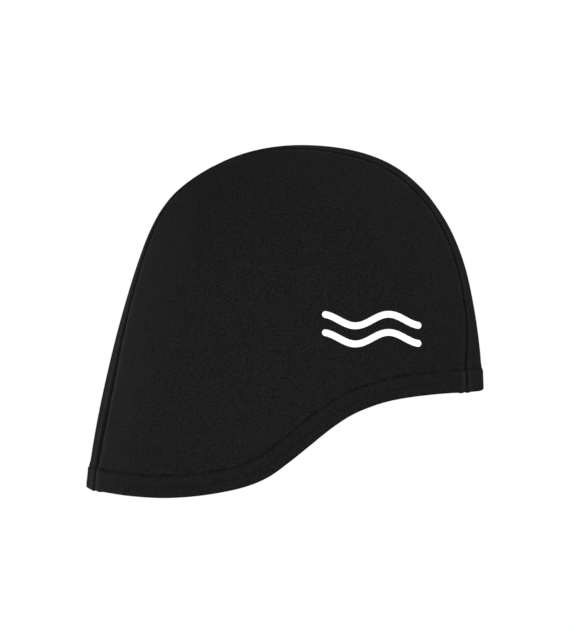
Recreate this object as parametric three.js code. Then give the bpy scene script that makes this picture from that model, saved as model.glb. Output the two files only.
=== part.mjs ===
// A polyester swim cap, in millimetres: a side panel on each side, a centre panel over the crown
// between them, and the hem turned up inside the rim as a band. The cap keeps the form that it has
// when it is worn, and it is hollow. +X is the wearer's front, +Y the wearer's left and +Z up.
// The origin is the inside of the crown's top, where the cap sits on the head.

import * as THREE from 'three';

// Sizes of the whole cap, over its outer faces
const CAP_LENGTH = 222;
const CAP_BREADTH = 150;
const CAP_HEIGHT = 195;

// Cloth: the wall of the panels and of the hem's turned-up layer
const PANEL_WALL = 1.1;
const BAND_WALL = 1.2;

// Hem: its height up to the upper row of stitches, and how far it stands out from the panels
const HEM_HEIGHT = 13;
const HEM_SWELL = 0.7;

// Seams: the centre panel's width at the forehead, the valley along each seam, and the clearance
// between pieces that touch
const CENTRE_WIDTH = 70;
const SEAM_VALLEY = 0.4;
const CLEARANCE = 0.3;

// Horizontal sections of the outer surface. down is a share of CAP_HEIGHT from the crown's top. rear
// and front are shares of CAP_LENGTH from the nape, breadth is a share of CAP_BREADTH, and power is
// the section's power, 2 for an ellipse and more for a squarer one. Sections below the front rim
// carry its line on as far as the nape's, for the part of them behind the rim.
const SECTIONS = [
  { down: 0.0, rear: 0.54, front: 0.54, breadth: 0, power: 2 },
  { down: 0.015, rear: 0.426, front: 0.669, breadth: 0.264, power: 2 },
  { down: 0.05, rear: 0.338, front: 0.759, breadth: 0.469, power: 2 },
  { down: 0.12, rear: 0.24, front: 0.842, breadth: 0.69, power: 2.05 },
  { down: 0.18, rear: 0.192, front: 0.884, breadth: 0.81, power: 2.1 },
  { down: 0.25, rear: 0.158, front: 0.92, breadth: 0.9, power: 2.15 },
  { down: 0.35, rear: 0.125, front: 0.954, breadth: 0.974, power: 2.2 },
  { down: 0.45, rear: 0.098, front: 0.974, breadth: 1.0, power: 2.25 },
  { down: 0.55, rear: 0.074, front: 0.987, breadth: 0.994, power: 2.25 },
  { down: 0.65, rear: 0.053, front: 0.995, breadth: 0.975, power: 2.25 },
  { down: 0.75, rear: 0.034, front: 0.998, breadth: 0.944, power: 2.25 },
  { down: 0.85, rear: 0.0175, front: 0.998, breadth: 0.901, power: 2.25 },
  { down: 0.95, rear: 0.004, front: 0.998, breadth: 0.852, power: 2.25 },
  { down: 1.05, rear: -0.004, front: 0.998, breadth: 0.805, power: 2.25 },
];

// Where each section is broadest, as a share of its length from the rear
const BROADEST = 0.45;

// The rim in side view: along is a share of CAP_LENGTH from the nape, down a share of CAP_HEIGHT
const RIM = [
  { along: -0.01, down: 0.982 },
  { along: 0.042, down: 0.988 },
  { along: 0.119, down: 0.997 },
  { along: 0.21, down: 1.0 },
  { along: 0.318, down: 0.988 },
  { along: 0.416, down: 0.962 },
  { along: 0.465, down: 0.936 },
  { along: 0.513, down: 0.896 },
  { along: 0.562, down: 0.851 },
  { along: 0.611, down: 0.806 },
  { along: 0.66, down: 0.769 },
  { along: 0.708, down: 0.745 },
  { along: 0.758, down: 0.728 },
  { along: 0.857, down: 0.712 },
  { along: 1.0, down: 0.704 },
];

// The centre panel: back is a share of the way over the crown from the forehead's rim to the nape's,
// and width is a share of CENTRE_WIDTH
const CENTRE = [
  { back: 0.0, width: 1.0 },
  { back: 0.1, width: 0.94 },
  { back: 0.2, width: 0.83 },
  { back: 0.32, width: 0.68 },
  { back: 0.39, width: 0.57 },
  { back: 0.46, width: 0.43 },
  { back: 0.54, width: 0.37 },
  { back: 0.62, width: 0.4 },
  { back: 0.69, width: 0.57 },
  { back: 0.76, width: 0.72 },
  { back: 0.86, width: 0.84 },
  { back: 0.93, width: 0.82 },
  { back: 1.0, width: 0.7 },
];

// The hem's section: up is a share of HEM_HEIGHT from the edge, out a share of HEM_SWELL. The two
// dips are the rows of stitches.
const HEM = [
  { up: 0.0, out: -0.3 },
  { up: 0.1, out: 0.8 },
  { up: 0.28, out: 1.0 },
  { up: 0.46, out: 0.4 },
  { up: 0.66, out: 1.0 },
  { up: 0.88, out: 0.8 },
  { up: 1.0, out: -0.4 },
];

// Facets along a seam, from a seam down to the hem, and across the centre panel. EASE is how much
// closer a side panel's rows of facets lie beside the seam and the hem, from 0 to 1.
const ALONG_SEAM = 38;
const DOWN_PANEL = 13;
const ACROSS_CENTRE = 6;
const EASE = 0.6;

const CLOTH = { color: 0x1e1e1e, roughness: 0.92, metalness: 0 };

// A smooth curve through one column of a table
function curve(rows, key, column) {
  const interpolant = new THREE.CubicInterpolant(
    rows.map((row) => row[key]),
    rows.map((row) => row[column]),
    1,
  );
  return (at) => interpolant.evaluate(at)[0];
}

// The sections are spaced by the root of their height, in which a round crown is straight
const byRoot = SECTIONS.map((row) => ({ ...row, root: Math.sqrt(row.down) }));
const section = {
  rear: curve(byRoot, 'root', 'rear'),
  front: curve(byRoot, 'root', 'front'),
  breadth: curve(byRoot, 'root', 'breadth'),
  power: curve(byRoot, 'root', 'power'),
};
const rimDown = curve(RIM, 'along', 'down');
const centreWidth = curve(CENTRE, 'back', 'width');
const hemOut = curve(HEM, 'up', 'out');

const TOP_ALONG = SECTIONS[0].rear;
const placeX = (along) => (along - TOP_ALONG) * CAP_LENGTH;
const placeZ = (down) => PANEL_WALL - down * CAP_HEIGHT;
const alongOf = (x) => x / CAP_LENGTH + TOP_ALONG;
const downOf = (z) => Math.max((PANEL_WALL - z) / CAP_HEIGHT, 1e-9);
const rimHeight = (x) => placeZ(rimDown(alongOf(x)));

// The cap's section at one height
function sectionAt(z) {
  const root = Math.sqrt(downOf(z));
  const rear = placeX(section.rear(root));
  const front = placeX(section.front(root));
  const middle = rear + BROADEST * (front - rear);
  const half = (section.breadth(root) * CAP_BREADTH) / 2;
  return { rear, front, middle, half, power: section.power(root) };
}

// How much of a section's length is used up at x, to the section's power: 0 where it is broadest and
// 1 at its ends
function lengthwise({ rear, front, middle, power }, x) {
  const reach = x < middle ? middle - rear : front - middle;
  return Math.abs((x - middle) / reach) ** power;
}

// 1 on the outer surface, less inside it and more outside
function level({ x, y, z }) {
  const at = sectionAt(z);
  return lengthwise(at, x) + Math.abs(y / at.half) ** at.power;
}

// How fast level grows along each axis
function slope(point) {
  const STEP = 0.05;
  const change = (axis) => {
    const low = point.clone();
    const high = point.clone();
    low[axis] -= STEP;
    high[axis] += STEP;
    return (level(high) - level(low)) / (2 * STEP);
  };
  return new THREE.Vector3(change('x'), change('y'), change('z'));
}

const outward = (point) => slope(point).normalize();

// The value between two where a test that holds at the first stops holding
function turning(from, to, holds) {
  const HALVINGS = 40;
  let [held, past] = [from, to];
  for (let halving = 0; halving < HALVINGS; halving += 1) {
    const middle = (held + past) / 2;
    if (holds(middle)) held = middle;
    else past = middle;
  }
  return (held + past) / 2;
}

// The outer surface of a side in side view, as a point with its breadth filled in
function onSide(x, z, side) {
  const at = sectionAt(z);
  const left = Math.max(1 - lengthwise(at, x), 0);
  return new THREE.Vector3(x, side * at.half * left ** (1 / at.power), z);
}

// Points at even steps along a line of points
function evenly(points, steps) {
  const lengths = [0];
  for (let i = 1; i < points.length; i += 1) {
    lengths.push(lengths[i - 1] + points[i].distanceTo(points[i - 1]));
  }
  const total = lengths.at(-1);
  const spaced = [];
  let i = 1;
  for (let step = 0; step <= steps; step += 1) {
    const length = (total * step) / steps;
    while (i < points.length - 1 && lengths[i] < length) i += 1;
    const share = (length - lengths[i - 1]) / (lengths[i] - lengths[i - 1]);
    spaced.push(points[i - 1].clone().lerp(points[i], share));
  }
  return { spaced, total };
}

// The rim's point in a direction from the middle of the cap, with 0 to the front
function rimPoint(angle) {
  const middle = placeX(BROADEST);
  const at = (reach) => {
    const x = middle + reach * Math.cos(angle);
    return new THREE.Vector3(x, reach * Math.sin(angle), rimHeight(x));
  };
  return at(turning(0, CAP_LENGTH, (reach) => level(at(reach)) < 1));
}

// The direction of the rim's point that lies a distance from the middle plane
function rimAngle(breadth, atFront) {
  return turning(atFront ? 0 : Math.PI, Math.PI / 2, (angle) => rimPoint(angle).y < breadth);
}

// Rim points at even steps from one direction to another
function rimBetween(from, to, steps) {
  const FINE = 240;
  const fine = Array.from({ length: FINE + 1 }, (_, i) => rimPoint(from + ((to - from) * i) / FINE));
  return evenly(fine, steps).spaced;
}

// A place on the outer surface: its point, the direction out, and how far out the cloth stands there
const station = (point, out) => ({ point, normal: outward(point), out });

// The places above one point of the rim, one for each row of the hem, square to the rim
function climbHem(rim, tangent) {
  const STEPS = 12;
  const point = rim.clone();
  const rows = [];
  let climbed = 0;
  for (const { up } of HEM) {
    const length = (up - climbed) * HEM_HEIGHT;
    for (let step = 0; step < STEPS && length > 0; step += 1) {
      const square = new THREE.Vector3().crossVectors(outward(point), tangent).normalize();
      point.addScaledVector(square, (Math.sign(square.z) * length) / STEPS);
      const lean = slope(point);
      point.addScaledVector(lean, (1 - level(point)) / lean.lengthSq());
    }
    climbed = up;
    rows.push(station(point.clone(), hemOut(up) * HEM_SWELL));
  }
  return rows;
}

// The hem above a run of rim points, as rows from the edge up
function hemRows(rim, closed) {
  const last = rim.length - 1;
  const columns = rim.map((point, i) => {
    const next = rim[i < last ? i + 1 : closed ? 0 : last];
    const before = rim[i > 0 ? i - 1 : closed ? last : 0];
    return climbHem(point, next.clone().sub(before));
  });
  return HEM.map((_, row) => columns.map((column) => column[row]));
}

// The outline of the crown in the middle plane, from the forehead's rim to the nape's
function profileLine() {
  const FINE = 400;
  const [front, nape] = [rimPoint(0), rimPoint(Math.PI)];
  const from = Math.sqrt(downOf(front.z));
  const to = -Math.sqrt(downOf(nape.z));
  return Array.from({ length: FINE + 1 }, (_, i) => {
    const root = from + ((to - from) * i) / FINE;
    const along = root > 0 ? section.front(root) : section.rear(-root);
    return new THREE.Vector3(placeX(along), 0, placeZ(root * root));
  });
}

// Places over the crown between the two hems: the middle of the centre panel, the direction in from
// there, and half of the panel's width
function crownStops() {
  const FINE = 1000;
  const { spaced, total } = evenly(profileLine(), FINE);
  const margin = HEM_HEIGHT / total;
  return Array.from({ length: ALONG_SEAM + 1 }, (_, i) => {
    const back = margin + ((1 - 2 * margin) * i) / ALONG_SEAM;
    const at = Math.round(back * FINE);
    const tangent = spaced[at + 1].clone().sub(spaced[at - 1]).normalize();
    const inward = new THREE.Vector3(-tangent.z, 0, tangent.x);
    return { middle: spaced[at], inward, half: (centreWidth(back) * CENTRE_WIDTH) / 2 };
  });
}

// The outer surface beside the middle of the centre panel, at a distance from the middle plane
function beside(stop, y) {
  const at = (depth) => stop.middle.clone().setY(y).addScaledVector(stop.inward, depth);
  return at(turning(CAP_BREADTH / 3, 0, (depth) => level(at(depth)) < 1));
}

// Turns rows of places into rows of points, a depth below the outer surface
function layer(rows, depth) {
  const moved = new Map();
  const move = (place) => {
    if (!moved.has(place)) {
      moved.set(place, place.point.clone().addScaledVector(place.normal, place.out - depth));
    }
    return moved.get(place);
  };
  return rows.map((row) => row.map(move));
}

// A closed wall between two depths below the outer surface, from rows of places. Each quad of facets is
// split along its shorter diagonal. In a ring the last place of each row meets the first.
function wall(name, rows, outerDepth, innerDepth, ring) {
  const outer = layer(rows, outerDepth);
  const inner = layer(rows, innerDepth);
  const numbers = new Map();
  const positions = [];
  const triangles = [];
  const number = (point) => {
    if (!numbers.has(point)) {
      numbers.set(point, numbers.size);
      positions.push(point.x, point.y, point.z);
    }
    return numbers.get(point);
  };
  const triangle = (a, b, c) => {
    if (a !== b && b !== c && c !== a) triangles.push(number(a), number(b), number(c));
  };
  const quad = (a, b, c, d) => {
    const rising = a.distanceTo(c) < b.distanceTo(d);
    triangle(a, b, rising ? c : d);
    triangle(rising ? a : b, c, d);
  };
  const [lastRow, lastColumn] = [rows.length - 1, rows[0].length - 1];
  const columns = ring ? lastColumn + 1 : lastColumn;
  const next = (i) => (i + 1) % (lastColumn + 1);
  for (let i = 0; i < columns; i += 1) {
    for (let j = 0; j < lastRow; j += 1) {
      quad(outer[j][i], outer[j][next(i)], outer[j + 1][next(i)], outer[j + 1][i]);
      quad(inner[j][next(i)], inner[j][i], inner[j + 1][i], inner[j + 1][next(i)]);
    }
    quad(inner[0][i], inner[0][next(i)], outer[0][next(i)], outer[0][i]);
    quad(outer[lastRow][i], outer[lastRow][next(i)], inner[lastRow][next(i)], inner[lastRow][i]);
  }
  const [first, last] = [0, lastColumn];
  for (let j = 0; j < lastRow && !ring; j += 1) {
    quad(inner[j + 1][first], inner[j][first], outer[j][first], outer[j + 1][first]);
    quad(outer[j + 1][last], outer[j][last], inner[j][last], inner[j + 1][last]);
  }
  const geometry = new THREE.BufferGeometry();
  geometry.setAttribute('position', new THREE.Float32BufferAttribute(positions, 3));
  geometry.setIndex(triangles);
  const mesh = new THREE.Mesh(geometry, new THREE.MeshStandardMaterial(CLOTH));
  mesh.name = name;
  return mesh;
}

const stops = crownStops();
const frontHalf = (centreWidth(0) * CENTRE_WIDTH) / 2;
const rearHalf = (centreWidth(1) * CENTRE_WIDTH) / 2;

// The centre panel, from the forehead's edge over the crown to the nape's
function centrePanel() {
  const inset = CLEARANCE / 2;
  const front = rimAngle(frontHalf - inset, true);
  const rear = rimAngle(rearHalf - inset, false);
  const frontHem = hemRows(rimBetween(-front, front, ACROSS_CENTRE), false);
  const rearHem = hemRows(rimBetween(2 * Math.PI - rear, rear, ACROSS_CENTRE), false);
  const crown = stops.slice(1, -1).map((stop) =>
    Array.from({ length: ACROSS_CENTRE + 1 }, (_, i) => {
      const across = (2 * i) / ACROSS_CENTRE - 1;
      const valley = Math.abs(across) === 1 ? -SEAM_VALLEY : 0;
      return station(beside(stop, across * (stop.half - inset)), valley);
    }),
  );
  return wall('centre_panel', [...frontHem, ...crown, ...rearHem.reverse()], 0, PANEL_WALL, false);
}

// A side panel. Its upper rows follow the seam over the crown, and they ease into the rows of the hem.
function sidePanel(name, side) {
  const inset = CLEARANCE / 2;
  const front = rimAngle(frontHalf + inset, true);
  const rear = rimAngle(rearHalf + inset, false);
  const rim = rimBetween(side * front, side * rear, ALONG_SEAM);
  const hem = hemRows(rim, false);
  const hemTop = hem.at(-1);
  const seam = stops.map((stop) => station(beside(stop, side * (stop.half + inset)), -SEAM_VALLEY));
  const rows = Array.from({ length: DOWN_PANEL }, (_, j) => {
    const even = j / DOWN_PANEL;
    const share = THREE.MathUtils.lerp(even, THREE.MathUtils.smoothstep(even, 0, 1), EASE);
    return seam.map((place, i) => {
      if (i === 0 || i === ALONG_SEAM) return hemTop[i];
      if (j === 0) return place;
      const x = THREE.MathUtils.lerp(place.point.x, hemTop[i].point.x, share);
      const z = THREE.MathUtils.lerp(place.point.z, hemTop[i].point.z, share);
      return station(onSide(x, z, side), 0);
    });
  });
  const all = [...rows, ...hem.reverse()];
  const facing = side > 0 ? all.map((row) => row.toReversed()) : all;
  return wall(name, facing, 0, PANEL_WALL, false);
}

// The hem's turned-up layer, a ring behind all three panels
function hemBand() {
  const front = rimAngle(frontHalf, true);
  const rear = rimAngle(rearHalf, false);
  const runs = [
    [-front, front, ACROSS_CENTRE],
    [front, rear, ALONG_SEAM],
    [rear, 2 * Math.PI - rear, ACROSS_CENTRE],
    [2 * Math.PI - rear, 2 * Math.PI - front, ALONG_SEAM],
  ];
  const rim = runs.flatMap(([from, to, steps]) => rimBetween(from, to, steps).slice(0, -1));
  const outerDepth = PANEL_WALL + CLEARANCE;
  return wall('hem_band', hemRows(rim, true), outerDepth, outerDepth + BAND_WALL, true);
}

const cap = new THREE.Group();
cap.add(
  sidePanel('side_panel_right', -1),
  sidePanel('side_panel_left', 1),
  centrePanel(),
  hemBand(),
);

export default cap;
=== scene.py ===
# %% [markdown]
# # A polyester swim cap
# The cap is three pieces of black stretch knit: a panel on each side and a narrow one over the crown.
# Its rim is a hem, turned up inside and held by rows of stitches. This lesson dresses the solid model
# in cloth, thread and print. Lengths are in metres, +X is the wearer's front, +Y the left, +Z up, and
# the origin is the inside of the crown's top.

import bpy
import numpy as np
from mathutils.kdtree import KDTree
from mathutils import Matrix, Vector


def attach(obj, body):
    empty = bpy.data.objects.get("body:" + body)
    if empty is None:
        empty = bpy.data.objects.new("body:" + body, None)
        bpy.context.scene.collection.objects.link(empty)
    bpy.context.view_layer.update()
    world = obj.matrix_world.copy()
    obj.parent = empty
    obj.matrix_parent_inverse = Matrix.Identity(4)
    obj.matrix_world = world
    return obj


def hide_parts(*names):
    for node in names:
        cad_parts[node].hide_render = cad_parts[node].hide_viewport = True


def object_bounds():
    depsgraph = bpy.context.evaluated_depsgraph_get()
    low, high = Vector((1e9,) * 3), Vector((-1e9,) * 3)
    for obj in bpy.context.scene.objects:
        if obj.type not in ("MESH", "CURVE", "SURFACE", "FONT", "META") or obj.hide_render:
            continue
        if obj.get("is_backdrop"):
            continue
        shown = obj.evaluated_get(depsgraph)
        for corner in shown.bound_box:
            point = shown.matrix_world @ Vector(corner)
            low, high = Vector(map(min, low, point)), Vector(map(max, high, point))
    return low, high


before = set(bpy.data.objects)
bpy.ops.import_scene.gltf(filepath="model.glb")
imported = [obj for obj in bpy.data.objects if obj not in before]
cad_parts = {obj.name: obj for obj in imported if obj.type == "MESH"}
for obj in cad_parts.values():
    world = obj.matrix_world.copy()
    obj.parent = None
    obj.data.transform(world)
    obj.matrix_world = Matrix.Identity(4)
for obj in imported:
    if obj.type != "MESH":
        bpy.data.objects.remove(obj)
CAD_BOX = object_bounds()
print("solid model from", tuple(CAD_BOX[0]), "to", tuple(CAD_BOX[1]))

# %% [markdown]
# ## The camera
# The photograph is a level side view through a long lens. A camera two metres away gives nearly
# parallel lines. The lens follows from how many millimetres one pixel covers at the cap, and the
# camera's place from where the middle of the cap's outline lies in the picture.

# %% Camera
PHOTO_WIDTH, PHOTO_HEIGHT = 573, 630
METRES_PER_PIXEL = 0.00056
OUTLINE_MIDDLE_X, OUTLINE_MIDDLE_Y = 284.84, 319.37
CAMERA_DISTANCE = 2.0
SENSOR_MM = 36

scene = bpy.context.scene
middle = (CAD_BOX[0] + CAD_BOX[1]) / 2
camera_data = bpy.data.cameras.new("camera")
camera_data.sensor_width = SENSOR_MM
camera_data.lens = SENSOR_MM * CAMERA_DISTANCE / (PHOTO_HEIGHT * METRES_PER_PIXEL)
camera = bpy.data.objects.new("camera", camera_data)
camera.location = (
    middle.x + (PHOTO_WIDTH / 2 - OUTLINE_MIDDLE_X) * METRES_PER_PIXEL,
    -CAMERA_DISTANCE,
    middle.z + (OUTLINE_MIDDLE_Y - PHOTO_HEIGHT / 2) * METRES_PER_PIXEL,
)
camera.rotation_euler = (np.pi / 2, 0, 0)
scene.collection.objects.link(camera)
bpy.context.scene.camera = camera
print("lens", round(camera_data.lens, 1), "mm at", tuple(round(v, 4) for v in camera.location))

# %% [markdown]
# ## Light and floor
# Black cloth on pure white is lit from all round, so the white background is itself the light. A
# large soft lamp beside the camera keeps the middle of the cap as bright as its edges, and one does
# the same behind. Two small lamps, one low at the rear and one high at the front, give the centre
# panel and the ridges along the seams a bright side. The cap hangs where a head would hold it, so
# the floor is a pale disc well below, which fades out at its edge.

# %% World and lamps
scene.view_settings.view_transform = "Standard"
world = bpy.data.worlds.new("studio")
world.use_nodes = True
world.node_tree.nodes["Background"].inputs["Color"].default_value = (1, 1, 1, 1)
world.node_tree.nodes["Background"].inputs["Strength"].default_value = 1.0
scene.world = world


def lamp(name, place, size, watts):
    """A square soft lamp that faces the cap."""
    data = bpy.data.lights.new(name, "AREA")
    data.size, data.energy = size, watts
    light = bpy.data.objects.new(name, data)
    light.location = place
    light.rotation_euler = (middle - light.location).to_track_quat("-Z", "Y").to_euler()
    scene.collection.objects.link(light)


lamp("key", (-0.5, -2.3, -0.2), 1.2, 15)
lamp("rear_low", (-1.8, 0.75, -0.5), 0.4, 38)
lamp("front_top", (1.3, 0.6, 1.3), 0.4, 18)
lamp("back", (0.4, 2.0, 0.8), 1.0, 5)

# %% Floor
FLOOR_DROP = 0.6
FLOOR_RADIUS = 3.2
FADE_START = 0.5


def add_node(tree, kind, inputs=None, **settings):
    """A node with its settings, and with values or links for its inputs."""
    node = tree.nodes.new(kind)
    for name, value in settings.items():
        setattr(node, name, value)
    for name, value in (inputs or {}).items():
        if isinstance(value, bpy.types.NodeSocket):
            tree.links.new(value, node.inputs[name])
        else:
            node.inputs[name].default_value = value
    return node


def new_material(name):
    """A material, its tree and its Principled shader."""
    material = bpy.data.materials.new(name)
    material.use_nodes = True
    return material, material.node_tree, material.node_tree.nodes["Principled BSDF"]


floor_finish, tree, shader = new_material("floor")
place = add_node(tree, "ShaderNodeTexCoord").outputs["Object"]
reach = add_node(tree, "ShaderNodeVectorMath", {0: place}, operation="LENGTH").outputs["Value"]
fade = add_node(
    tree,
    "ShaderNodeMapRange",
    {"Value": reach, "From Min": FADE_START, "From Max": FLOOR_RADIUS, "To Min": 1, "To Max": 0},
    interpolation_type="SMOOTHSTEP",
)
tree.links.new(fade.outputs["Result"], shader.inputs["Alpha"])
shader.inputs["Base Color"].default_value = (0.93, 0.93, 0.93, 1)
shader.inputs["Roughness"].default_value = 0.8
bpy.ops.mesh.primitive_circle_add(
    vertices=128, radius=FLOOR_RADIUS, fill_type="NGON", location=(0, 0, -FLOOR_DROP)
)
floor = bpy.context.object
floor.name = "floor"
floor.data.materials.append(floor_finish)
floor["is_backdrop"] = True
print("floor", FLOOR_DROP, "m below the crown, radius", FLOOR_RADIUS)

# %% [markdown]
# ## The cap's form
# A worn cap has the form of a head. It can be sculpted, or worked out from horizontal sections, each
# a squared ellipse whose ends and breadth come from a short table. The sections are used here,
# because every panel, thread and print can then ask the same formula where the surface is.

# %% Tables of the form
CAP_LENGTH = 0.222
CAP_BREADTH = 0.150
CAP_HEIGHT = 0.195
CROWN_TOP = 0.0011
CENTRE_WIDTH = 0.070
HEM_HEIGHT = 0.013
BROADEST = 0.45


def table(columns, *rows):
    """Rows of numbers as one array for each named column."""
    return dict(zip(columns.split(), np.array(rows).T))


SECTIONS = table(
    "down rear front breadth power",
    (0.0, 0.54, 0.54, 0, 2),
    (0.015, 0.426, 0.669, 0.264, 2),
    (0.05, 0.338, 0.759, 0.469, 2),
    (0.12, 0.24, 0.842, 0.69, 2.05),
    (0.18, 0.192, 0.884, 0.81, 2.1),
    (0.25, 0.158, 0.92, 0.9, 2.15),
    (0.35, 0.125, 0.954, 0.974, 2.2),
    (0.45, 0.098, 0.974, 1.0, 2.25),
    (0.55, 0.074, 0.987, 0.994, 2.25),
    (0.65, 0.053, 0.995, 0.975, 2.25),
    (0.75, 0.034, 0.998, 0.944, 2.25),
    (0.85, 0.0175, 0.998, 0.901, 2.25),
    (0.95, 0.004, 0.998, 0.852, 2.25),
    (1.05, -0.004, 0.998, 0.805, 2.25),
)
RIM = table(
    "along down",
    (-0.01, 0.982),
    (0.042, 0.988),
    (0.119, 0.997),
    (0.21, 1.0),
    (0.318, 0.988),
    (0.416, 0.962),
    (0.465, 0.936),
    (0.513, 0.896),
    (0.562, 0.851),
    (0.611, 0.806),
    (0.66, 0.769),
    (0.708, 0.745),
    (0.758, 0.728),
    (0.857, 0.712),
    (1.0, 0.704),
)
CENTRE = table(
    "back width",
    (0.0, 1.0),
    (0.05, 0.91),
    (0.12, 0.84),
    (0.19, 0.74),
    (0.26, 0.65),
    (0.33, 0.62),
    (0.39, 0.61),
    (0.45, 0.52),
    (0.51, 0.41),
    (0.57, 0.38),
    (0.63, 0.46),
    (0.69, 0.61),
    (0.75, 0.73),
    (0.81, 0.8),
    (0.86, 0.82),
    (0.9, 0.79),
    (0.95, 0.74),
    (1.0, 0.7),
)


def curve(at, value):
    """A smooth curve through points, whose slope at each is the mean of the slopes beside it."""
    steps = np.diff(value) / np.diff(at)
    slopes = np.concatenate([steps[:1], (steps[:-1] + steps[1:]) / 2, steps[-1:]])

    def evaluate(wanted):
        wanted = np.clip(wanted, at[0], at[-1])
        i = np.clip(np.searchsorted(at, wanted, side="right") - 1, 0, len(at) - 2)
        span = at[i + 1] - at[i]
        t = (wanted - at[i]) / span
        start = (1 + 2 * t) * (1 - t) ** 2 * value[i] + t * (1 - t) ** 2 * span * slopes[i]
        end = t * t * (3 - 2 * t) * value[i + 1] + t * t * (t - 1) * span * slopes[i + 1]
        return start + end

    return evaluate


ROOTS = np.sqrt(SECTIONS["down"])
section = {name: curve(ROOTS, SECTIONS[name]) for name in ("rear", "front", "breadth", "power")}
rim_down = curve(RIM["along"], RIM["down"])
centre_width = curve(CENTRE["back"], CENTRE["width"])
TOP_ALONG = SECTIONS["rear"][0]
print("sections", len(ROOTS), "rim points", len(RIM["along"]), "centre widths", len(CENTRE["back"]))

# %% The outer surface as a formula
NORMAL_STEP = 5e-5


def section_at(z):
    """Rear end, front end, broadest place, half breadth and power of the section at each height."""
    root = np.sqrt(np.maximum((CROWN_TOP - z) / CAP_HEIGHT, 1e-9))
    rear = (section["rear"](root) - TOP_ALONG) * CAP_LENGTH
    front = (section["front"](root) - TOP_ALONG) * CAP_LENGTH
    half = section["breadth"](root) * CAP_BREADTH / 2
    return rear, front, rear + BROADEST * (front - rear), half, section["power"](root)


def lengthwise(at, x):
    """0 where a section is broadest, and 1 at its ends."""
    rear, front, broadest, _, power = at
    reach = np.where(x < broadest, broadest - rear, front - broadest)
    return np.abs((x - broadest) / reach) ** power


def level(points):
    """1 on the outer surface, less inside it and more outside."""
    at = section_at(points[..., 2])
    return lengthwise(at, points[..., 0]) + np.abs(points[..., 1] / at[3]) ** at[4]


def slope(points):
    """How fast level grows along each axis."""
    steps = np.eye(3) * NORMAL_STEP
    return np.stack([(level(points + s) - level(points - s)) / (2 * NORMAL_STEP) for s in steps], -1)


def unit(vectors):
    return vectors / np.linalg.norm(vectors, axis=-1, keepdims=True)


def outward(points):
    return unit(slope(points))


def onto_surface(points):
    """Points moved square to the surface until they lie on it."""
    for _ in range(2):
        lean = slope(points)
        points = points + lean * ((1 - level(points)) / (lean**2).sum(-1))[..., None]
    return points


def on_side(x, z, side):
    """The surface's points on one side for places in side view."""
    at = section_at(z)
    left = np.maximum(1 - lengthwise(at, x), 0)
    return np.stack([x, side * at[3] * left ** (1 / at[4]), z], -1)


print("crown's top is level", round(float(level(np.array([0.0, 0.0, CROWN_TOP - 1e-7]))), 3))

# %% [markdown]
# ## The rim and the seams
# A piece of knit is cut flat, and its edges become the seams and the rim. On the form those are two
# kinds of line: the rim, which dips at the nape, and the two seams from the forehead over the crown
# to the nape. Finding them once keeps neighbouring pieces in step.

# %% Lines on the surface
HALVINGS = 34


def turning(held, past, holds):
    """The values between two where a test that holds at the first stops holding."""
    for _ in range(HALVINGS):
        between = (held + past) / 2
        good = holds(between)
        held, past = np.where(good, between, held), np.where(good, past, between)
    return (held + past) / 2


def lengths_along(points):
    """The length along a line of points, from its start to each."""
    steps = np.linalg.norm(np.diff(points, axis=0), axis=1)
    return np.concatenate([[0], np.cumsum(steps)])


def at_lengths(points, lengths):
    """Points at lengths along a line of points."""
    run = lengths_along(points)
    return np.stack([np.interp(lengths, run, points[:, k]) for k in range(3)], -1)


# %% The rim
FINE = 2400
ANGLES = np.linspace(0, 2 * np.pi, FINE + 1)


def rim_points(angle):
    """Points of the rim in directions from the middle of the cap, 0 to the front."""
    centre = (BROADEST - TOP_ALONG) * CAP_LENGTH

    def at(reach):
        x = centre + reach * np.cos(angle)
        z = CROWN_TOP - rim_down(x / CAP_LENGTH + TOP_ALONG) * CAP_HEIGHT
        return np.stack([x, reach * np.sin(angle), z], -1)

    near = np.zeros_like(angle)
    return at(turning(near, near + CAP_LENGTH, lambda reach: level(at(reach)) < 1))


whole_rim = rim_points(ANGLES)
rim_run = lengths_along(whole_rim)
RIM_LENGTH = rim_run[-1]
quarter, half_way = FINE // 4, FINE // 2
FRONT_HALF = centre_width(0.0) * CENTRE_WIDTH / 2
NAPE_HALF = centre_width(1.0) * CENTRE_WIDTH / 2
RUN_FRONT = np.interp(FRONT_HALF, whole_rim[:quarter, 1], rim_run[:quarter])
RUN_NAPE = np.interp(-NAPE_HALF, -whole_rim[quarter:half_way, 1], rim_run[quarter:half_way])


def rim_at(run):
    """Points of the rim at lengths along it from the middle of the forehead, to the left."""
    return rim_points(np.interp(run % RIM_LENGTH, rim_run, ANGLES))


print("rim", round(RIM_LENGTH, 4), "m, seams meet it at", round(RUN_FRONT, 4), round(RUN_NAPE, 4))

# %% Places above the rim
CLIMB_STEP = 0.0003
CLIMB_ROWS = 56


def climb(run):
    """Rows of surface points above rim points, with the directions out and up there."""
    points = rim_at(run)
    tangent = rim_at(run + CLIMB_STEP) - rim_at(run - CLIMB_STEP)
    rows = []
    for _ in range(CLIMB_ROWS):
        out = outward(points)
        up = unit(np.cross(out, tangent))
        up = up * np.sign(up[:, 2:])
        rows.append((points, out, up))
        points = onto_surface(points + up * CLIMB_STEP)
    return [np.array(part) for part in zip(*rows)]


def at_heights(climbed, up):
    """The climbed points and directions at heights: one height a row, or one for each place."""
    up = np.broadcast_to(up, (up.shape[0], climbed[0].shape[1]))
    row = np.clip(up / CLIMB_STEP, 0, CLIMB_ROWS - 1.001)
    low = row.astype(int)
    t = (row - low)[..., None]
    column = np.arange(low.shape[1])
    return [part[low, column] * (1 - t) + part[low + 1, column] * t for part in climbed]


def hem_top(run):
    return at_heights(climb(run), np.array([[HEM_HEIGHT]]))[0][0]


print("heights up to", round(CLIMB_STEP * (CLIMB_ROWS - 1), 4), "m above the rim")

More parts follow.
